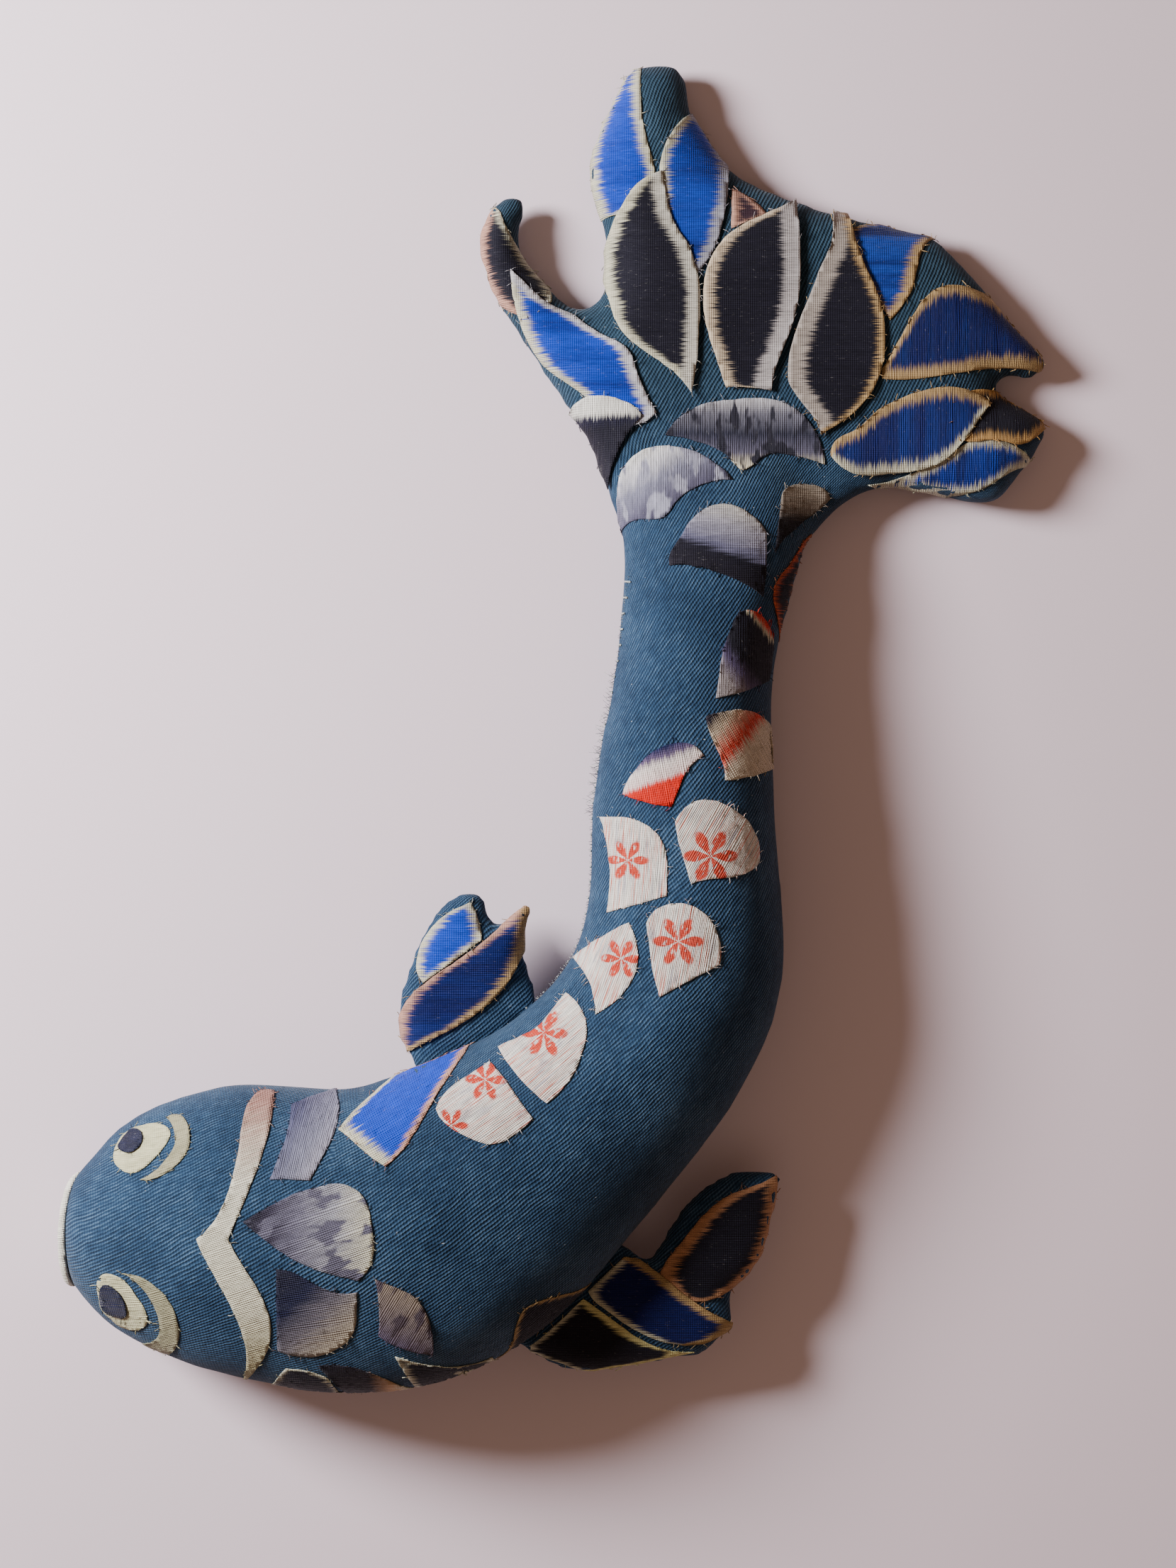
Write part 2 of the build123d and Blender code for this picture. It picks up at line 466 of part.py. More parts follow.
for patches, cut in ((BODY_PATCHES, beyond_bend), (TAIL_PATCHES, before_bend)):
    for name, (layer, corners, outlines) in patches.items():
        with BuildPart() as patch:
            for points in outlines:
                add(prism(points, corners, seam_height(points)))
            add(tops[layer], mode=Mode.INTERSECT)
            add(undersides[layer], mode=Mode.SUBTRACT)
            add(cut, mode=Mode.SUBTRACT)
        finish_piece(patch.part, name)

# ---- fins ----
fins = {"left": (LEFT_FIN_EDGE, LEFT_FIN_PATCHES), "right": (RIGHT_FIN_EDGE, RIGHT_FIN_PATCHES)}

for side, (edge, patches) in fins.items():
    with BuildPart() as cover:
        add(slab(edge, FIN_BOTTOM, FIN_TOP))
        add(slab(edge, FIN_BOTTOM + CLOTH, FIN_TOP - CLOTH, inset=CLOTH), mode=Mode.SUBTRACT)
        split(bisect_by=Plane.XY.offset(FIN_SEAM), keep=Keep.BOTH)
    finish_piece(cover.part, f"{side}_fin_cover")
    with BuildPart() as fin_stuffing:
        add(slab(edge, FIN_BOTTOM + CLOTH + SLACK, FIN_TOP - CLOTH - SLACK, inset=CLOTH + SLACK))
    finish_piece(fin_stuffing.part, f"{side}_fin_stuffing")
    for name, (layer, corners, outlines) in patches.items():
        low = FIN_TOP + layer_height(layer)
        with BuildPart() as leaf:
            add(slab(edge, low, low + SILK))
            add(prism(outlines[0], corners, FIN_BOTTOM), mode=Mode.INTERSECT)
        finish_piece(leaf.part, name)
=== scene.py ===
"""Stuffed cloth carp: puffed twill body, tail and fins with frayed kasuri silk patches."""

import random
from math import atan2, cos, radians, sin, sqrt

import bmesh
import bpy
from mathutils import Matrix, Vector, noise
from mathutils.bvhtree import BVHTree
from mathutils.kdtree import KDTree


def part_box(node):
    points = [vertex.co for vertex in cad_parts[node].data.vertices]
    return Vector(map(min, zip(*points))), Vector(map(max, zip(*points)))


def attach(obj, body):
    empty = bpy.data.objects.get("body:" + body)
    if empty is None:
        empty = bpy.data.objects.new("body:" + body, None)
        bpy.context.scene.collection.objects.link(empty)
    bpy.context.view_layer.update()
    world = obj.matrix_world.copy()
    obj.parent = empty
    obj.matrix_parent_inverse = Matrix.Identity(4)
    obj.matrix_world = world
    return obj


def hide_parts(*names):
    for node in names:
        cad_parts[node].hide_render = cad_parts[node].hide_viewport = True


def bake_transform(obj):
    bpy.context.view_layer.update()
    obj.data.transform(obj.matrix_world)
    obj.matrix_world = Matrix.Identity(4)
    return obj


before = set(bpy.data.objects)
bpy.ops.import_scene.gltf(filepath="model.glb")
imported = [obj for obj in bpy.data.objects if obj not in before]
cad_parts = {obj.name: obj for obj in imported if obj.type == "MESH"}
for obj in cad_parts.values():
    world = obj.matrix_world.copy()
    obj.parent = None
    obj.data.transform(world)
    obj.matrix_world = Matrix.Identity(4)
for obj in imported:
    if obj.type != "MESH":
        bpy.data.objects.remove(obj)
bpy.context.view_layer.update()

MM = 0.001
GRID = 1.5 * MM                  # mesh pitch of a silk patch
SILK = 0.24 * MM
LAYER = 0.4 * MM
WALE_CENTRE = (-393.0, 346.0)    # the twill's ribs run as arcs about this point, in mm
WALE_PITCH = 0.98
SPINE = [(-150.0, -146.0, 17.0), (-118.0, -145.9, 22.0), (-90.0, -145.0, 25.6), (-60.0, -147.4, 26.5),
         (-41.0, -143.7, 26.5), (-12.0, -127.0, 24.6), (9.5, -108.0, 22.7), (25.0, -90.0, 21.7),
         (33.0, -74.0, 21.2), (35.7, -52.0, 20.3), (36.4, -8.0, 18.5), (41.6, 32.0, 14.7), (45.5, 90.0, 7.0)]
BEND_START = (0.036, -0.014, 0.018)
BEND_END = (0.0395, 0.021, 0.018)
scene = bpy.context.scene
random.seed(7)


# ---- mesh helpers ----
def make_object(name, bm, material=None):
    if not any(edge.is_boundary for edge in bm.edges):
        bmesh.ops.recalc_face_normals(bm, faces=bm.faces)
    mesh = bpy.data.meshes.new(name)
    bm.to_mesh(mesh)
    bm.free()
    for polygon in mesh.polygons:
        polygon.use_smooth = True
    piece = bpy.data.objects.new(name, mesh)
    scene.collection.objects.link(piece)
    if material:
        mesh.materials.append(material)
    return piece


def joined_nodes(names):
    bm = bmesh.new()
    for name in names:
        bm.from_mesh(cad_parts[name].data)
    bmesh.ops.remove_doubles(bm, verts=bm.verts, dist=0.01 * MM)
    return bm


def apply_modifiers(piece):
    graph = bpy.context.evaluated_depsgraph_get()
    mesh = bpy.data.meshes.new_from_object(piece.evaluated_get(graph))
    old = piece.data
    piece.modifiers.clear()
    piece.data = mesh
    bpy.data.meshes.remove(old)
    for polygon in mesh.polygons:
        polygon.use_smooth = True


def remesh(piece, voxel):
    step = piece.modifiers.new("remesh", "REMESH")
    step.mode = "VOXEL"
    step.voxel_size = voxel
    apply_modifiers(piece)


def soften(piece, factor, times):
    bm = bmesh.new()
    bm.from_mesh(piece.data)
    for _ in range(times):
        bmesh.ops.smooth_vert(bm, verts=bm.verts, factor=factor, use_axis_x=True, use_axis_y=True,
                              use_axis_z=True)
    bm.to_mesh(piece.data)
    bm.free()


def puff(piece, middle, radius, applies, least=0.16):
    """Round the upright edges of a flat pad, as stuffing does: full height only well inside its outline."""
    mesh = piece.data
    walls = [v for v in mesh.vertices if abs(v.normal.z) < 0.6 and applies(v.co) > 0.5
             and abs(v.co.z - middle) < 0.006]
    tree = KDTree(len(walls))
    for index, vertex in enumerate(walls):
        tree.insert((vertex.co.x, vertex.co.y, 0), index)
    tree.balance()
    for vertex in mesh.vertices:
        share = applies(vertex.co)
        if share <= 0:
            continue
        away = tree.find((vertex.co.x, vertex.co.y, 0))[2]
        inside = 1 - min(away / radius, 1)
        full = max(sqrt(max(1 - inside * inside, 0)), least)
        vertex.co.z += share * (middle + (vertex.co.z - middle) * full - vertex.co.z)


def inflate(piece, pressure, cap):
    """Cloth under slight pressure: small slack wrinkles between the seams."""
    rest = [v.co.copy() for v in piece.data.vertices]
    cloth = piece.modifiers.new("cloth", "CLOTH")
    settings = cloth.settings
    settings.use_pressure = True
    settings.uniform_pressure_force = pressure
    settings.effector_weights.gravity = 0
    settings.tension_stiffness = 25
    settings.compression_stiffness = 25
    settings.bending_stiffness = 0.4
    settings.quality = 5
    for number in range(1, 15):
        scene.frame_set(number)
    apply_modifiers(piece)
    scene.frame_set(1)
    for vertex, old in zip(piece.data.vertices, rest):
        move = vertex.co - old
        if move.length > cap:
            vertex.co = old + move * (cap / move.length)


def lumps(piece, size, amount):
    """Uneven wadding under the cloth."""
    for vertex in piece.data.vertices:
        vertex.co += vertex.normal * (noise.noise(vertex.co / size) * amount)


def subdivide(piece):
    step = piece.modifiers.new("subdivision", "SUBSURF")
    step.levels = 1
    step.render_levels = 1
    apply_modifiers(piece)


def lay_out_weave(piece, round_share):
    """Store where each point of the cloth lies once unrolled flat, in mm, so that the ribs keep their pitch."""
    spine = [Vector(point) for point in SPINE]
    layer = piece.data.attributes.new("weave", "FLOAT_VECTOR", "POINT")
    flat = []
    for vertex in piece.data.vertices:
        place = vertex.co / MM
        edge = vertex.normal.copy()
        edge.z = 0
        slab = place + edge * (abs(edge.length) * 3.0)
        share = round_share(vertex.co)
        if share > 0:
            nearest, best = None, 1e9
            for a, b in zip(spine, spine[1:]):
                run = (b - a).xy
                t = min(max((place.xy - a.xy).dot(run) / run.length_squared, 0), 1)
                point = a.lerp(b, t)
                gap = (point.xy - place.xy).length_squared
                if gap < best:
                    nearest, best = point, gap
            out = (place - nearest).xy
            drop = place.z - nearest.z
            radius = sqrt(best + drop * drop)
            arc = radius * atan2(out.length, drop)
            tube = nearest.xy + out.normalized() * arc
            slab = slab.lerp(Vector((tube.x, tube.y, 0)), share)
        flat.extend((slab.x, slab.y, 0.0))
    layer.data.foreach_set("vector", flat)


def ramp_between(value, low, high):
    t = min(max((value - low) / (high - low), 0), 1)
    return t * t * (3 - 2 * t)


# ---- shader helpers ----
def rgb(red, green, blue):
    def linear(c):
        c /= 255
        return c / 12.92 if c <= 0.04045 else ((c + 0.055) / 1.055) ** 2.4
    return (linear(red), linear(green), linear(blue), 1)


class Shader:
    """A material under construction: each method adds one node and returns its output."""

    def __init__(self, name, roughness, sheen):
        self.material = bpy.data.materials.new(name)
        self.material.use_nodes = True
        self.tree = self.material.node_tree
        self.bsdf = self.tree.nodes["Principled BSDF"]
        self.bsdf.inputs["Roughness"].default_value = roughness
        self.bsdf.inputs["Sheen Weight"].default_value = sheen
        self.bsdf.inputs["Sheen Roughness"].default_value = 0.4
        self.bsdf.inputs["Specular IOR Level"].default_value = 0.16
        place = self.tree.nodes.new("ShaderNodeTexCoord").outputs["Object"]
        self.place = self.vector("SCALE", place, scale=1000)
        parts = self.tree.nodes.new("ShaderNodeSeparateXYZ")
        self.tree.links.new(self.place, parts.inputs[0])
        self.x, self.y, self.z = parts.outputs

    def put(self, socket, value):
        if isinstance(value, bpy.types.NodeSocket):
            self.tree.links.new(value, socket)
        else:
            socket.default_value = value

    def math(self, operation, *values, clamp=False):
        node = self.tree.nodes.new("ShaderNodeMath")
        node.operation = operation
        node.use_clamp = clamp
        for socket, value in zip(node.inputs, values):
            self.put(socket, value)
        return node.outputs[0]

    def vector(self, operation, a, b=None, scale=None):
        node = self.tree.nodes.new("ShaderNodeVectorMath")
        node.operation = operation
        self.put(node.inputs[0], a)
        if b is not None:
            self.put(node.inputs[1], b)
        if scale is not None:
            node.inputs["Scale"].default_value = scale
        return node.outputs["Value" if operation == "LENGTH" else "Vector"]

    def combine(self, x, y, z):
        node = self.tree.nodes.new("ShaderNodeCombineXYZ")
        for socket, value in zip(node.inputs, (x, y, z)):
            self.put(socket, value)
        return node.outputs[0]

    def noise(self, vector, scale, detail=2.0):
        node = self.tree.nodes.new("ShaderNodeTexNoise")
        self.put(node.inputs["Vector"], vector)
        node.inputs["Scale"].default_value = scale
        node.inputs["Detail"].default_value = detail
        return node.outputs["Fac"]

    def mix(self, share, a, b):
        node = self.tree.nodes.new("ShaderNodeMix")
        node.data_type = "RGBA"
        self.put(node.inputs["Factor"], share)
        self.put(next(i for i in node.inputs if i.identifier == "A_Color"), a)
        self.put(next(i for i in node.inputs if i.identifier == "B_Color"), b)
        return next(o for o in node.outputs if o.identifier == "Result_Color")

    def step(self, value, low, high):
        node = self.tree.nodes.new("ShaderNodeMapRange")
        node.interpolation_type = "SMOOTHSTEP"
        self.put(node.inputs["Value"], value)
        node.inputs["From Min"].default_value = low
        node.inputs["From Max"].default_value = high
        return node.outputs["Result"]

    def ramp(self, value, stops):
        node = self.tree.nodes.new("ShaderNodeValToRGB")
        self.put(node.inputs[0], value)
        elements = node.color_ramp.elements
        while len(elements) < len(stops):
            elements.new(0.5)
        for element, (place, colour) in zip(elements, stops):
            element.position = place
            element.color = colour
        return node.outputs[0]

    def attribute(self, name):
        node = self.tree.nodes.new("ShaderNodeAttribute")
        node.attribute_name = name
        return node.outputs["Fac"]

    def bump(self, height, distance, strength=1.0):
        node = self.tree.nodes.new("ShaderNodeBump")
        self.put(node.inputs["Height"], height)
        node.inputs["Distance"].default_value = distance
        node.inputs["Strength"].default_value = strength
        self.tree.links.new(node.outputs[0], self.bsdf.inputs["Normal"])

    def colour(self, value):
        self.put(self.bsdf.inputs["Base Color"], value)


def indigo_twill():
    s = Shader("indigo_twill", 0.92, 0.12)
    weave = s.tree.nodes.new("ShaderNodeAttribute")
    weave.attribute_name = "weave"
    from_centre = s.vector("SUBTRACT", weave.outputs["Vector"], (WALE_CENTRE[0], WALE_CENTRE[1], 0.0))
    drift = s.math("MULTIPLY", s.noise(s.place, 0.08, 1), 1.6)
    across = s.math("ADD", s.vector("LENGTH", from_centre), drift)
    parts = s.tree.nodes.new("ShaderNodeSeparateXYZ")
    s.put(parts.inputs[0], from_centre)
    along = s.math("MULTIPLY", s.math("ARCTAN2", parts.outputs[1], parts.outputs[0]), 530.0)
    jog = s.math("MULTIPLY", s.noise(s.combine(across, along, 0.0), 1.3, 1), 0.35)
    rib = s.math("SINE", s.math("MULTIPLY", s.math("ADD", across, jog), 6.2832 / WALE_PITCH))
    pick = s.math("SINE", s.math("ADD", s.math("MULTIPLY", along, 6.2832 / 0.85),
                                 s.math("MULTIPLY", across, 3.0)))
    slub = s.noise(s.combine(s.math("MULTIPLY", across, 2.4), s.math("MULTIPLY", along, 0.35), 0.0), 0.8, 3)
    height = s.math("ADD", s.math("MULTIPLY", rib, 0.36), s.math("MULTIPLY", pick, 0.12))
    height = s.math("ADD", height, s.math("MULTIPLY", slub, 0.7))
    # tone is partly the yarn's own colour (slub and noise terms) and partly painted light: the rib and pick terms paint
    # shade into the grooves and highlight on the rib tops
    tone = s.math("ADD", s.math("MULTIPLY", rib, 0.17), s.math("MULTIPLY", pick, 0.07))
    tone = s.math("ADD", tone, s.math("MULTIPLY", slub, 0.75))
    tone = s.math("ADD", tone, s.math("MULTIPLY", s.noise(s.place, 0.05, 2), 0.45))
    cloth = s.ramp(s.step(tone, 0.05, 1.15), [(0.0, rgb(16, 30, 46)), (0.35, rgb(29, 50, 74)),
                                              (0.65, rgb(46, 72, 98)), (1.0, rgb(88, 114, 140))])
    lint = s.step(s.noise(s.combine(s.math("MULTIPLY", s.x, 0.5), s.y, s.z), 1.15, 1), 0.78, 0.83)
    # painted shade: from y 50 to 115 mm (the tail) the twill is mixed up to 0.7 of the way to a darker ramp
    tail = s.math("MULTIPLY", s.step(s.y, 50.0, 115.0), 0.7)
    cloth = s.mix(tail, cloth, s.mix(s.step(tone, 0.05, 1.15), rgb(12, 24, 32), rgb(52, 76, 90)))
    s.colour(s.mix(s.math("MULTIPLY", lint, 0.35), cloth, rgb(214, 220, 220)))
    s.bump(height, 0.34 * MM, 0.75)
    return s.material


def silk_threads(s, grain):
    """Coordinates along and across a silk's threads, and their streaks."""
    c, t = cos(radians(grain)), sin(radians(grain))
    along = s.math("ADD", s.math("MULTIPLY", s.x, c), s.math("MULTIPLY", s.y, t))
    across = s.math("ADD", s.math("MULTIPLY", s.y, c), s.math("MULTIPLY", s.x, -t))
    wave = s.math("MULTIPLY", s.noise(s.combine(s.math("MULTIPLY", along, 0.05), across, 0.0), 0.25, 1), 2.0)
    across = s.math("ADD", across, wave)
    streak = s.noise(s.combine(s.math("MULTIPLY", along, 0.05), s.math("MULTIPLY", across, 1.7), 0.0), 1.6, 5)
    return along, across, streak


def silk_finish(s, colour, along, across):
    """Weave, thread-to-thread tone and bump that all the silks share."""
    tone = s.noise(s.combine(s.math("MULTIPLY", along, 0.22), s.math("MULTIPLY", across, 1.9), 0.0), 1.2, 3)
    weft = s.math("SINE", s.math("MULTIPLY", across, 6.2832 / 0.5))
    warp = s.math("SINE", s.math("MULTIPLY", along, 6.2832 / 0.62))
    weave = s.math("ADD", s.math("MULTIPLY", weft, 0.5), s.math("MULTIPLY", warp, 0.25))
    fleck = s.step(s.noise(s.combine(s.math("MULTIPLY", along, 0.5), s.math("MULTIPLY", across, 2.0), 3.0),
                           1.5, 2), 0.66, 0.76)
    shade = s.math("ADD", s.math("MULTIPLY", tone, 1.1), s.math("MULTIPLY", weave, 0.10))
    dark = s.mix(s.step(shade, 0.2, 0.75), rgb(0, 0, 0), colour)
    body = s.mix(0.62, dark, colour)
    s.colour(s.mix(s.math("MULTIPLY", fleck, 0.08), body, rgb(226, 220, 214)))
    s.bump(s.math("ADD", weave, s.math("MULTIPLY", tone, 1.6)), 0.16 * MM, 0.8)
    return s.material


def leaf_silk(name, borders, colours, grain=0.0, blotch=None):
    """A dark motif that runs out in feathered streaks into its two borders: widths in mm, colours a, motif, b."""
    s = Shader(name, 0.66, 0.06)
    along, across, streak = silk_threads(s, grain)
    fine = s.noise(s.combine(s.math("MULTIPLY", along, 0.1), s.math("MULTIPLY", across, 5.0), 2.0), 1.4, 2)
    run = s.math("MULTIPLY", s.math("SUBTRACT", streak, 0.5), 6.5)
    run = s.math("ADD", run, s.math("MULTIPLY", s.math("SUBTRACT", fine, 0.5), 5.0))
    masks = []
    for side, width in zip(("side_a", "side_b"), borders):
        reach = s.math("ADD", s.attribute(side), run)
        masks.append(s.step(reach, width - 1.1, width + 1.2))
    first, motif, second = (rgb(*c) for c in colours)
    if blotch:
        motif = s.mix(s.step(s.noise(s.combine(s.math("MULTIPLY", along, 0.05), across, 0.0), 0.18, 3), 0.42, 0.7),
                      motif, rgb(*blotch))
    body = s.mix(masks[0], first, motif)
    return silk_finish(s, s.mix(masks[1], second, body), along, across)


def banded_silk(name, direction, extent, stops, grain=0.0, wander=0.22, blotch=None):
    """Colours that follow each other along a direction: extent is the first and last place on it, in mm."""
    s = Shader(name, 0.66, 0.06)
    along, across, streak = silk_threads(s, grain)
    c, t = cos(radians(direction)), sin(radians(direction))
    place = s.math("ADD", s.math("MULTIPLY", s.x, c), s.math("MULTIPLY", s.y, t))
    place = s.math("DIVIDE", s.math("SUBTRACT", place, extent[0]), extent[1] - extent[0])
    place = s.math("ADD", place, s.math("MULTIPLY", s.math("SUBTRACT", streak, 0.5), 2 * wander))
    colour = s.ramp(place, [(p, rgb(*c)) for p, c in stops])
    if blotch:
        patchy = s.step(s.noise(s.combine(s.math("MULTIPLY", along, 0.45), across, 0.0), 0.28, 2), 0.5, 0.6)
        colour = s.mix(patchy, colour, rgb(*blotch))
    return silk_finish(s, colour, along, across)


def blossom_silk(name, centres, grain):
    """Off-white silk with a six-petal red blossom at each centre: x, y, radius in mm."""
    s = Shader(name, 0.66, 0.06)
    along, across, streak = silk_threads(s, grain)
    colour = s.ramp(streak, [(0.34, rgb(160, 152, 158)), (0.42, rgb(206, 200, 192)), (0.53, rgb(226, 220, 208)),
                             (0.59, rgb(218, 172, 158)), (0.67, rgb(196, 96, 78))])
    smudge = s.step(s.noise(s.combine(s.math("MULTIPLY", along, 0.5), across, 4.0), 0.2, 3), 0.60, 0.74)
    colour = s.mix(s.math("MULTIPLY", smudge, 0.6), colour, rgb(140, 134, 142))
    for x, y, radius in centres:
        dx = s.math("ADD", s.math("SUBTRACT", s.x, x), s.math("MULTIPLY", s.math("SUBTRACT", streak, 0.5), 1.8))
        dy = s.math("SUBTRACT", s.y, y)
        out = s.math("SQRT", s.math("ADD", s.math("MULTIPLY", dx, dx), s.math("MULTIPLY", dy, dy)))
        angle = s.math("ARCTAN2", dy, dx)
        petal = s.math("ABSOLUTE", s.math("COSINE", s.math("MULTIPLY", angle, 3.0)))
        edge = s.math("MULTIPLY_ADD", petal, 0.8 * radius, 0.2 * radius)
        red = s.step(s.math("SUBTRACT", edge, out), -0.6, 0.5)
        gap = s.step(petal, 0.3, 0.6)
        heart = s.step(out, 0.0, 0.5)
        broken = s.step(s.noise(s.combine(s.math("MULTIPLY", along, 0.5), s.math("MULTIPLY", across, 1.4), 9.0),
                                0.9, 3), 0.30, 0.46)
        share = s.math("MULTIPLY", s.math("MULTIPLY", red, broken), s.math("MULTIPLY", gap, heart))
        colour = s.mix(share, colour, s.mix(s.noise(s.place, 0.9, 2), rgb(180, 40, 28), rgb(216, 84, 62)))
    return silk_finish(s, colour, along, across)


def plain_cloth(name, light, dark, roughness=0.85):
    s = Shader(name, roughness, 0.15)
    along, across, streak = silk_threads(s, 10.0)
    colour = s.mix(s.noise(s.place, 0.35, 4), rgb(*dark), rgb(*light))
    return silk_finish(s, colour, along, across)


# ---- twill body, tail and fins ----
twill = indigo_twill()
thread_cloth = plain_cloth("sewing_thread", (216, 214, 200), (150, 160, 170))


def twill_skin():
    """One cloth skin from nose to tail over the wadding, bridged across the bend."""
    names = ["body_back_panel", "body_belly_panel", "body_stuffing",
             "tail_back_panel", "tail_belly_panel", "tail_stuffing"]
    bm = joined_nodes(names)
    bridge = Matrix.Translation((0.0378, 0.0036, 0.0172)) @ Matrix.Rotation(radians(-5), 4, "Z") \
        @ Matrix.Diagonal((0.0238, 0.008, 0.0172, 1)) @ Matrix.Rotation(radians(90), 4, "X")
    bmesh.ops.create_cone(bm, cap_ends=True, segments=48, radius1=1, radius2=1, depth=2, matrix=bridge)
    skin = make_object("twill_skin", bm, twill)
    remesh(skin, 2.6 * MM)
    puff(skin, 7 * MM, 12 * MM, lambda co: ramp_between(co.y, 0.056, 0.084))
    remesh(skin, 3.0 * MM)
    soften(skin, 0.5, 5)
    inflate(skin, 3.0, 1.8 * MM)
    lumps(skin, 0.022, 0.9 * MM)
    subdivide(skin)
    for vertex in skin.data.vertices:
        vertex.co.z = max(vertex.co.z, 0.0)
    lay_out_weave(skin, lambda co: 1 - ramp_between(co.y, 0.056, 0.09))
    skin.data.materials.clear()
    skin.data.materials.append(twill)
    return skin


def fin_pad(side, root_a, root_b, tuck):
    """A small stuffed fin, gathered thin where it is sewn to the body."""
    bm = joined_nodes([f"{side}_fin_cover", f"{side}_fin_stuffing"])
    pad = make_object(f"{side}_fin_pad", bm, twill)
    remesh(pad, 1.6 * MM)
    puff(pad, 18 * MM, 8 * MM, lambda co: 1.0, 0.2)
    a, b = Vector((*root_a, 0)) * MM, Vector((*root_b, 0)) * MM
    line = (b - a).normalized()
    out = Vector((-line.y, line.x, 0))
    for vertex in pad.data.vertices:
        away = (vertex.co - a).dot(out)
        pull = 1 - ramp_between(away, 0, 12 * MM)
        vertex.co -= out * (tuck * MM * pull)
        vertex.co.z += pull * (20.5 * MM - vertex.co.z) * 0.55
    remesh(pad, 1.8 * MM)
    soften(pad, 0.5, 3)
    inflate(pad, 2.0, 1.0 * MM)
    lumps(pad, 0.012, 0.5 * MM)
    subdivide(pad)
    lay_out_weave(pad, lambda co: 0.0)
    pad.data.materials.clear()
    pad.data.materials.append(twill)
    return pad


skin = twill_skin()
left_fin = fin_pad("left", (-45.0, -97.0), (-21.0, -84.2), 10.5)
right_fin = fin_pad("right", (20.4, -151.0), (-13.2, -182.6), 8.0)


def surface(piece):
    bm = bmesh.new()
    bm.from_mesh(piece.data)
    tree = BVHTree.FromBMesh(bm)
    bm.free()
    return tree


grounds = {"body": (surface(skin), skin), "tail": (surface(skin), skin),
           "left_fin": (surface(left_fin), left_fin), "right_fin": (surface(right_fin), right_fin)}


# ---- silk patches ----
def plan_of(node):
    """A patch's outline in plan as a mesh of small cells, cut from the CAD plate's upper face."""
    bm = joined_nodes([node])
    bmesh.ops.recalc_face_normals(bm, faces=bm.faces)
    bmesh.ops.delete(bm, geom=[f for f in bm.faces if f.normal.z < 0.05], context="FACES")
    for vertex in bm.verts:
        vertex.co.z = 0
    bmesh.ops.dissolve_limit(bm, angle_limit=0.02, verts=bm.verts, edges=bm.edges)
    low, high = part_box(node)
    for axis in (0, 1):
        count = int((high[axis] - low[axis]) / GRID) + 1
        for number in range(1, count + 1):
            point, normal = Vector((0, 0, 0)), Vector((0, 0, 0))
            point[axis] = low[axis] + number * GRID
            normal[axis] = 1
            bmesh.ops.bisect_plane(bm, geom=bm.verts[:] + bm.edges[:] + bm.faces[:], plane_co=point,
                                   plane_no=normal, dist=1e-6)
    bmesh.ops.remove_doubles(bm, verts=bm.verts, dist=0.12 * MM)
    bmesh.ops.holes_fill(bm, edges=[e for e in bm.edges if e.is_boundary], sides=8)
    for face in bm.faces:
        face.normal_update()
        if face.normal.z < 0:
            face.normal_flip()
    return bm


def side_distances(bm, grain):
    """For each point, how far along its thread the patch ends on either side, in mm."""
    c, t = cos(radians(grain)), sin(radians(grain))

    def turned(vertex):
        return vertex.co.x * c + vertex.co.y * t, vertex.co.y * c - vertex.co.x * t

    rows = {}
    for edge in bm.edges:
        if edge.is_boundary:
            ends = sorted((turned(v) for v in edge.verts), key=lambda end: end[1])
            for row in range(int(ends[0][1] // GRID), int(ends[1][1] // GRID) + 1):
                rows.setdefault(row, []).append(ends)
    first = bm.verts.layers.float.new("side_a")
    second = bm.verts.layers.float.new("side_b")
    for vertex in bm.verts:
        along, across = turned(vertex)
        before, after = [], []
        for low, high in rows.get(int(across // GRID), []):
            if low[1] <= across <= high[1] and high[1] - low[1] > 1e-9:
                crossing = low[0] + (high[0] - low[0]) * (across - low[1]) / (high[1] - low[1])
                (before if crossing <= along else after).append(abs(along - crossing))
        vertex[first] = min(before, default=0) / MM
        vertex[second] = min(after, default=0) / MM


def drape(bm, tree, lift, start):
    """Lay the flat patch on the cloth below it, a little proud at its raw edge."""
    for vertex in bm.verts:
        place = Vector((vertex.co.x, vertex.co.y, 0.2))
        hit, normal, _, _ = tree.ray_cast(place, Vector((0, 0, -1)))
        if hit is None or normal.z < 0.12:
            height = start if hit is None else hit.z
            hit, normal, _, _ = tree.find_nearest(Vector((vertex.co.x, vertex.co.y, height)))
        curl = 0.0
        if vertex.is_boundary:
            curl = (0.05 + 0.45 * abs(noise.noise(place * 160))) * MM
        vertex.co = hit + normal * (lift + curl)


def fray(bm, density):
    """Loose thread ends along the raw edge."""
    edges = [e for e in bm.edges if e.is_boundary]
    for edge in edges:
        if random.random() > density:
            continue
        a, b = edge.verts[0].co, edge.verts[1].co
        face = edge.link_faces[0]
        start = a.lerp(b, random.random())
        out = (start - face.calc_center_median())
        if out.length < 1e-6:
            continue
        side = (b - a).normalized()
        out = (out.normalized() + side * random.uniform(-0.9, 0.9)).normalized()
        length = random.uniform(0.6, 2.2) * MM
        width = side * (0.05 * MM)
        droop = Vector((0, 0, random.uniform(-0.5, 0.4) * MM))
        middle = start + out * (length * 0.5) + droop * 0.3
        end = start + out * length + droop + side * random.uniform(-0.5, 0.5) * MM
        points = [bm.verts.new(p) for p in (start - width, start + width, middle + width, middle - width,
                                            end + width * 0.4, end - width * 0.4)]
        bm.faces.new((points[0], points[1], points[2], points[3]))
        bm.faces.new((points[3], points[2], points[4], points[5]))


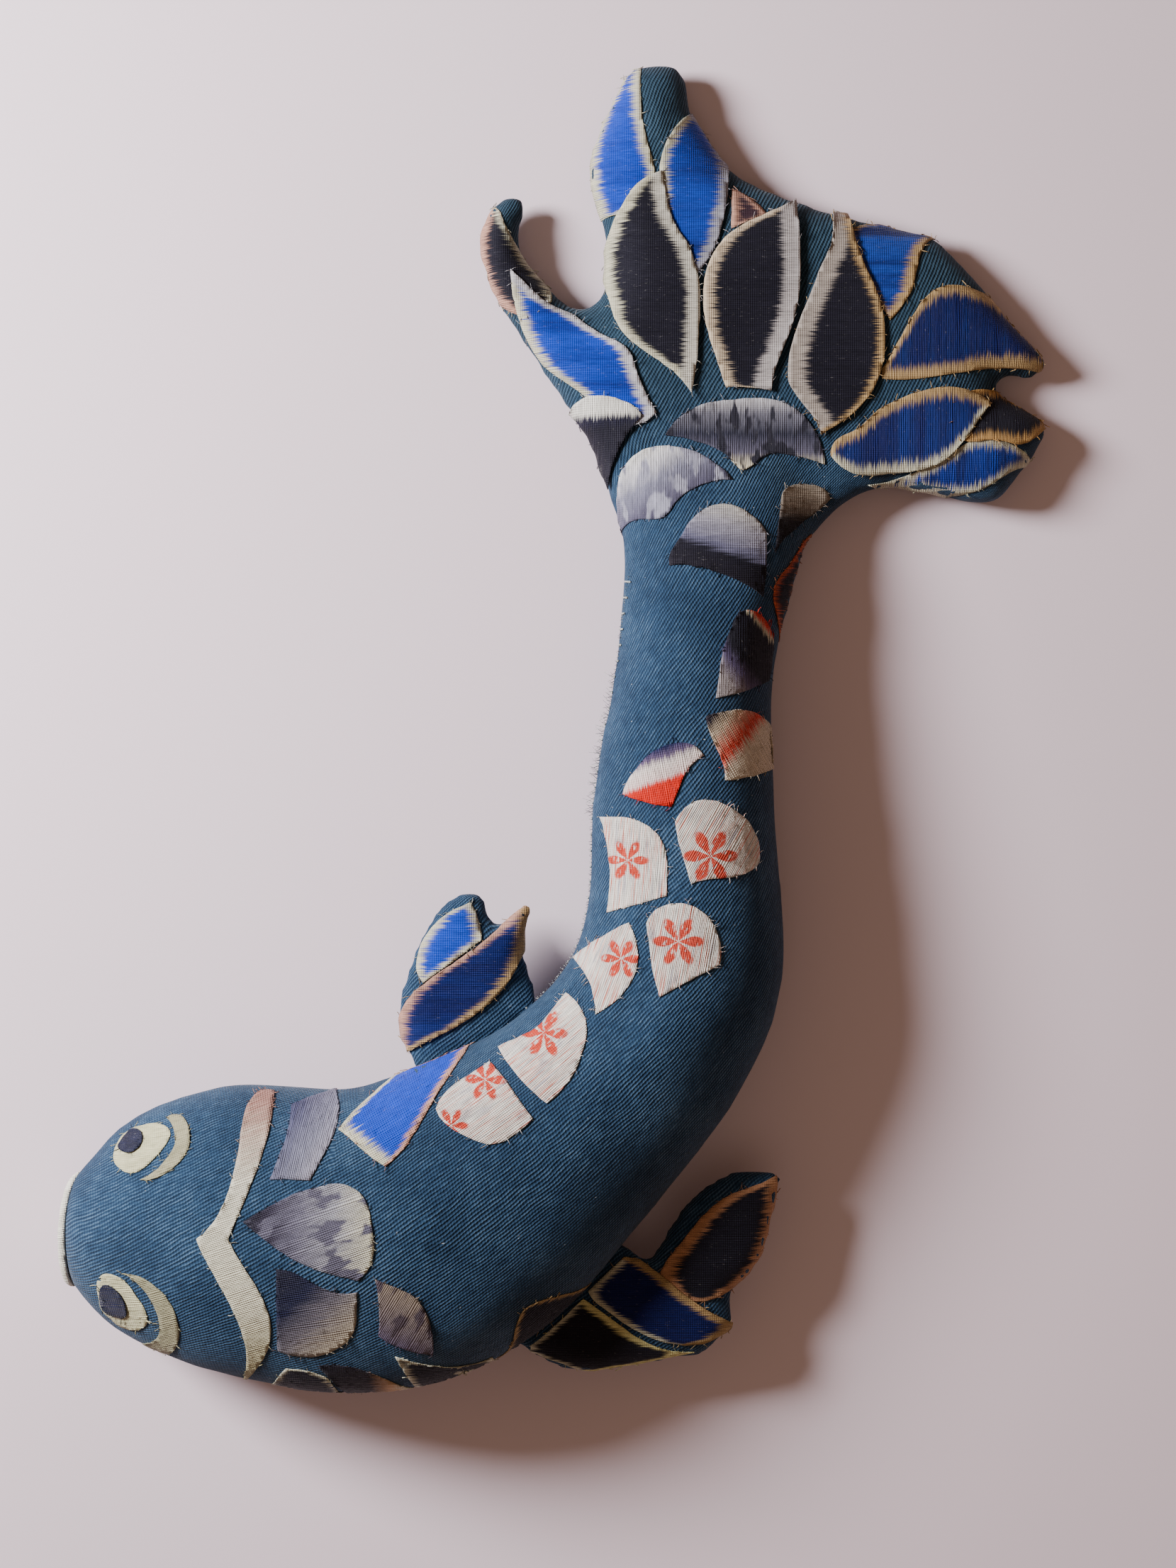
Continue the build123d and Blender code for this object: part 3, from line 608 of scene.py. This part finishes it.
def laid_side_by_side(bm):
    """Width and length of a patch's loose pieces, set next to each other in plan."""
    width, length, seen = 0, 0, set()
    for first in bm.verts:
        if first in seen:
            continue
        group, reach = [], [first]
        seen.add(first)
        while reach:
            vertex = reach.pop()
            group.append(vertex.co)
            for edge in vertex.link_edges:
                other = edge.other_vert(vertex)
                if other not in seen:
                    seen.add(other)
                    reach.append(other)
        width += max(p.x for p in group) - min(p.x for p in group)
        length = max(length, max(p.y for p in group) - min(p.y for p in group))
    return width, length


def silk_patch(node, body, layer, material, grain=0.0, frays=0.16):
    bm = plan_of(node)
    for vertex in bm.verts:
        if vertex.is_boundary:
            rough = noise.noise_vector(Vector((vertex.co.x, vertex.co.y, layer * MM)) * 420)
            vertex.co += Vector((rough.x, rough.y, 0)) * (0.18 * MM)
    side_distances(bm, grain)
    plan_area = sum(f.calc_area() for f in bm.faces)
    width, length = laid_side_by_side(bm)
    tree, ground = grounds[body]
    start = {"body": 0.024, "tail": 0.007}.get(body, 0.018)
    drape(bm, tree, 0.25 * MM + (layer - 1) * LAYER, start)
    bmesh.ops.smooth_vert(bm, verts=[v for v in bm.verts if not v.is_boundary], factor=0.4,
                          use_axis_x=False, use_axis_y=False, use_axis_z=True)
    area = sum(f.calc_area() for f in bm.faces)
    fray(bm, frays)
    low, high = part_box(node)
    piece = make_object(node + "_silk", bm, material)
    thick = piece.modifiers.new("cloth", "SOLIDIFY")
    thick.thickness = SILK
    thick.offset = -1
    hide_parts(node)
    if low.y < BEND_END[1] and high.y > BEND_START[1] and body in ("body", "tail"):
        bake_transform(piece)
    else:
        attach(piece, body)
    stretch = sqrt(area / plan_area)
    width, length = width * stretch, length * stretch


CREAM, TAN, PINKISH = (200, 194, 168), (178, 146, 100), (186, 140, 120)
BLACK, CHARCOAL, NAVY = (26, 24, 36), (60, 54, 64), (14, 24, 84)
BLUE, STRIP, GREY = (24, 62, 184), (150, 148, 158), (123, 122, 140)
LIGHT, RED, VIOLET = (196, 192, 196), (206, 50, 30), (84, 72, 104)

LEAVES = {
    # node: body, layer, border widths a b, colours a motif b, grain, blotch
    "shoulder_leaf_blue": ("body", 1, (3.0, 3.0), (CREAM, BLUE, PINKISH), 30, None),
    "lower_side_patch_front": ("body", 1, (0.8, 0.8), (CREAM, BLACK, CREAM), 0, None),
    "lower_side_patch_rear": ("body", 1, (1.0, 2.0), (CREAM, BLACK, CREAM), 0, None),
    "fin_root_leaf": ("body", 1, (1.2, 1.2), (TAN, BLACK, TAN), 40, None),
    "tail_root_flank_leaf": ("tail", 1, (0.9, 0.9), ((190, 84, 50), BLACK, (176, 110, 80)), 0, None),
    "hook_lobe_blue_leaf": ("tail", 2, (2.2, 3.0), (CREAM, BLUE, LIGHT), 0, (20, 44, 140)),
    "hook_lobe_dark_leaf": ("tail", 1, (2.6, 1.2), (PINKISH, BLACK, CREAM), 0, None),
    "top_lobe_left_leaf": ("tail", 1, (2.2, 2.2), (CREAM, BLUE, CREAM), 0, (20, 44, 140)),
    "top_lobe_right_leaf": ("tail", 2, (2.2, 2.8), (CREAM, (26, 62, 170), STRIP), 0, (20, 40, 110)),
    "top_lobe_black_leaf": ("tail", 3, (2.6, 3.6), (CREAM, BLACK, (196, 190, 176)), 0, None),
    "middle_black_leaf": ("tail", 4, (2.8, 4.6), ((206, 184, 156), BLACK, (176, 168, 166)), 0, None),
    "right_black_leaf": ("tail", 3, (4.8, 1.8), ((168, 156, 146), BLACK, TAN), 0, None),
    "small_pink_leaf": ("tail", 1, (2.0, 1.5), (PINKISH, (60, 40, 50), PINKISH), 0, None),
    "right_lobe_blue_leaf": ("tail", 1, (1.0, 3.0), (TAN, (28, 66, 160), TAN), 0, NAVY),
    "right_lobe_navy_leaf": ("tail", 1, (3.0, 2.6), (TAN, NAVY, TAN), 90, (18, 38, 102)),
    "lower_lobe_navy_leaf": ("tail", 3, (2.2, 2.6), (CREAM, NAVY, TAN), 90, (18, 40, 112)),
    "lower_lobe_black_leaf": ("tail", 2, (2.0, 1.6), ((190, 146, 88), BLACK, (190, 142, 80)), 90, None),
    "lower_lobe_blue_leaf": ("tail", 1, (1.8, 1.6), (CREAM, (26, 60, 160), CREAM), 90, NAVY),
    "left_fin_blue_leaf": ("left_fin", 1, (1.6, 2.0), (CREAM, BLUE, CREAM), 0, None),
    "left_fin_navy_leaf": ("left_fin", 2, (2.2, 2.6), (PINKISH, NAVY, TAN), 0, (18, 38, 108)),
    "right_fin_black_leaf": ("right_fin", 1, (3.8, 2.8), ((190, 136, 100), BLACK, (186, 136, 100)), 0, None),
    "right_fin_navy_leaf": ("right_fin", 2, (2.0, 3.4), (CREAM, NAVY, TAN), 0, None),
    "right_fin_under_leaf": ("right_fin", 1, (1.2, 3.0), (CREAM, BLACK, (216, 204, 140)), 0, None),
}
for node, (body, layer, borders, colours, grain, blotch) in LEAVES.items():
    silk = leaf_silk(node + "_cloth", borders, colours, grain, blotch)
    silk_patch(node, body, layer, silk, grain)

BANDS = {
    # node: body, layer, direction, extent, stops, grain, blotch
    "collar_band": ("body", 1, 90, (-185, -107), [(0.0, (150, 140, 96)), (0.3, (206, 200, 176)),
                    (0.72, (204, 198, 178)), (1.0, (158, 116, 104))], 20, None),
    "shoulder_patch_lavender": ("body", 1, -30, (-17, 11), [(0.0, (30, 34, 74)), (0.3, (76, 76, 104)),
                                (0.6, GREY), (1.0, (176, 168, 176))], 80, None),
    "back_petal_grey": ("body", 1, 0, (-86, -50), [(0.0, BLACK), (0.2, (50, 44, 60)), (0.42, (104, 100, 116)),
                        (0.7, (150, 148, 156)), (1.0, CREAM)], 20, (92, 88, 104)),
    "back_patch_black_grey": ("body", 1, -45, (51, 80), [(0.0, BLACK), (0.4, (28, 30, 58)), (0.65, (110, 104, 112)),
                              (1.0, (176, 162, 140))], 10, None),
    "flank_patch_brown_grey": ("body", 1, 60, (-174, -158), [(0.0, VIOLET), (0.45, (112, 100, 104)),
                               (1.0, (138, 122, 108))], 60, (78, 66, 74)),
    "lower_side_patch_middle": ("body", 1, 0, (-65, -42), [(0.0, BLACK), (0.55, (40, 34, 44)), (0.8, (190, 150, 110)),
                                (1.0, CREAM)], 0, None),
    "red_fan_scale": ("body", 1, 110, (-35, -18), [(0.0, (200, 26, 10)), (0.46, (206, 32, 14)), (0.54, (224, 196, 190)),
                      (0.74, (222, 208, 200)), (0.86, (96, 80, 110)), (1.0, (20, 28, 72))], 100, None),
    "striped_scale": ("body", 1, -40, (24, 54), [(0.0, BLACK), (0.3, (40, 34, 44)), (0.42, (196, 176, 150)),
                      (0.62, RED), (0.72, (206, 190, 168)), (1.0, (198, 180, 156))], -60, None),
    "tail_root_scale_red": ("tail", 1, 40, (42, 65), [(0.0, (150, 140, 140)), (0.2, VIOLET), (0.34, BLACK),
                            (0.74, BLACK), (0.78, CREAM), (0.82, RED), (1.0, (150, 50, 44))], 90, None),
    "tail_root_corner_scale": ("tail", 1, 90, (46, 66), [(0.0, BLACK), (0.5, (44, 40, 44)), (0.7, (130, 116, 104)),
                               (1.0, (156, 142, 126))], 0, None),
    "tail_root_collar_scale": ("tail", 1, -108, (-73, -50), [(0.0, (190, 184, 172)), (0.3, (150, 146, 158)),
                               (0.58, (100, 98, 122)), (0.66, BLACK), (1.0, (30, 26, 36))], 0, None),
    "tail_root_rim_scale": ("tail", 1, -60, (-55, -33), [(0.0, (230, 226, 218)), (0.2, (206, 202, 206)), (0.45, GREY),
                            (0.75, (86, 82, 102)), (1.0, (34, 32, 48))], 90, (150, 148, 164)),
    "tail_mottled_scale": ("tail", 1, 90, (71, 91), [(0.0, (214, 204, 176)), (0.22, (96, 92, 110)), (0.5, (44, 44, 60)),
                           (0.8, (110, 108, 120)), (1.0, LIGHT)], 90, (40, 38, 50)),
    "tail_white_band_scale": ("tail", 3, 90, (69, 92), [(0.0, BLACK), (0.6, BLACK), (0.72, (30, 28, 48)),
                              (0.79, (226, 222, 212)), (1.0, (232, 228, 218))], 90, None),
    "eye_crescents": ("body", 1, 0, (-122, -100), [(0.0, (140, 136, 108)), (1.0, (158, 152, 122))], 20, None),
}
for node, (body, layer, direction, extent, stops, grain, blotch) in BANDS.items():
    silk = banded_silk(node + "_cloth", direction, extent, stops, grain, 0.14, blotch)
    silk_patch(node, body, layer, silk, grain)

BLOSSOMS = {
    "blossom_scale_1": ([(-20.5, -100.5, 5.6), (-29.5, -112.4, 4.6)], 35),
    "blossom_scale_2": ([(-4.4, -88.0, 6.6)], 40),
    "blossom_scale_3": ([(17.0, -67.4, 5.6)], 70),
    "blossom_scale_4": ([(32.8, -62.4, 7.0)], 80),
    "blossom_scale_5": ([(18.9, -40.2, 5.8)], 85),
    "blossom_scale_6": ([(41.8, -38.9, 7.6)], 60),
}
for node, (centres, grain) in BLOSSOMS.items():
    silk_patch(node, "body", 1, blossom_silk(node + "_cloth", centres, grain), grain)

silk_patch("eye_whites", "body", 1, plain_cloth("eye_white_cloth", (210, 206, 168), (180, 174, 136)), 0, 0.1)
silk_patch("eye_pupils", "body", 2, plain_cloth("eye_pupil_cloth", (24, 30, 62), (8, 10, 24), 0.5), 0, 0.1)


# ---- mouth lip, seams ----
def mouth_lip():
    piece = make_object("mouth_lip_cloth", joined_nodes(["mouth_lip"]))
    remesh(piece, 0.9 * MM)
    soften(piece, 0.5, 2)
    lumps(piece, 0.004, 0.25 * MM)
    tree = grounds["body"][0]
    back = max(v.co.x for v in piece.data.vertices)
    for vertex in piece.data.vertices:
        hit = tree.ray_cast(Vector((-0.3, vertex.co.y, vertex.co.z)), Vector((1, 0, 0)))[0]
        if hit:
            vertex.co.x = hit.x + 0.4 * MM - (back - vertex.co.x) * 0.62
    piece.data.materials.clear()
    piece.data.materials.append(plain_cloth("lip_cloth", (240, 238, 226), (204, 198, 178)))
    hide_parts("mouth_lip")
    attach(piece, "body")


def side_seam():
    """Thread loops and the frayed raw edge along the seam on the fish's left side."""
    tree = grounds["body"][0]
    bm = bmesh.new()
    for number in range(150):
        y = (-92 + number * 0.9) * MM
        if -0.014 > y > -0.002:
            continue
        hit, normal, _, _ = tree.ray_cast(Vector((-0.1, y, 0.019)), Vector((1, 0, 0)))
        if hit is None:
            continue
        wild = 1.0 if -0.028 < y < 0.013 else 0.35
        for _ in range(3):
            length = random.uniform(0.8, 3.4) * wild * MM
            away = (normal + Vector((0, random.uniform(-1, 1), random.uniform(-0.2, 1.2)))).normalized()
            side = Vector((0, 0.09 * MM, 0))
            start = hit + Vector((0, random.uniform(-0.5, 0.5), random.uniform(-1, 1))) * MM
            end = start + away * length
            corners = [bm.verts.new(p) for p in (start - side, start + side, end + side * 0.4, end - side * 0.4)]
            bm.faces.new(corners)
        if number % 5 == 0:
            turn = normal.to_track_quat("Z", "Y").to_matrix().to_4x4()
            place = Matrix.Translation(hit + normal * 0.2 * MM) @ turn @ Matrix.Rotation(radians(90), 4, "X")
            bmesh.ops.create_cone(bm, cap_ends=True, segments=8, radius1=0.28 * MM, radius2=0.28 * MM,
                                  depth=3.4 * MM, matrix=place)
    piece = make_object("left_seam_threads", bm, thread_cloth)
    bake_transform(piece)


mouth_lip()
side_seam()

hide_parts("body_back_panel", "body_belly_panel", "body_stuffing",
            "tail_back_panel", "tail_belly_panel", "tail_stuffing")
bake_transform(skin)
for fin, side in ((left_fin, "left_fin"), (right_fin, "right_fin")):
    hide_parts(side + "_cover", side + "_stuffing")
    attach(fin, side)


# ---- floor, light and camera ----
def floor():
    bm = bmesh.new()
    bmesh.ops.create_grid(bm, x_segments=2, y_segments=2, size=2.5)
    paper = bpy.data.materials.new("pale_paper")
    paper.use_nodes = True
    paper.node_tree.nodes["Principled BSDF"].inputs["Base Color"].default_value = rgb(236, 216, 224)
    paper.node_tree.nodes["Principled BSDF"].inputs["Roughness"].default_value = 0.9
    plane = make_object("floor", bm, paper)
    plane.location.z = -0.0002


def lamp(name, place, size, power, colour):
    data = bpy.data.lights.new(name, "AREA")
    data.shape = "DISK"
    data.size = size
    data.energy = power
    data.color = colour
    light = bpy.data.objects.new(name, data)
    scene.collection.objects.link(light)
    light.location = place
    light.rotation_euler = (-Vector(place)).to_track_quat("-Z", "Y").to_euler()


def camera():
    data = bpy.data.cameras.new("camera")
    data.lens = 61.0
    data.sensor_width = 36.0
    data.clip_start = 0.01
    view = bpy.data.objects.new("camera", data)
    view.location = (0.0079, -0.019, 0.775)
    scene.collection.objects.link(view)
    scene.camera = view


floor()
lamp("key", (-0.62, 0.24, 0.42), 0.28, 17.5, (0.96, 0.97, 1.0))
lamp("fill", (0.2, -0.5, 1.4), 1.2, 1.0, (1.0, 0.84, 0.7))
world = bpy.data.worlds.new("studio")
world.use_nodes = True
world.node_tree.nodes["Background"].inputs[0].default_value = (1.0, 0.66, 0.46, 1)
world.node_tree.nodes["Background"].inputs[1].default_value = 0.19
scene.world = world
camera()
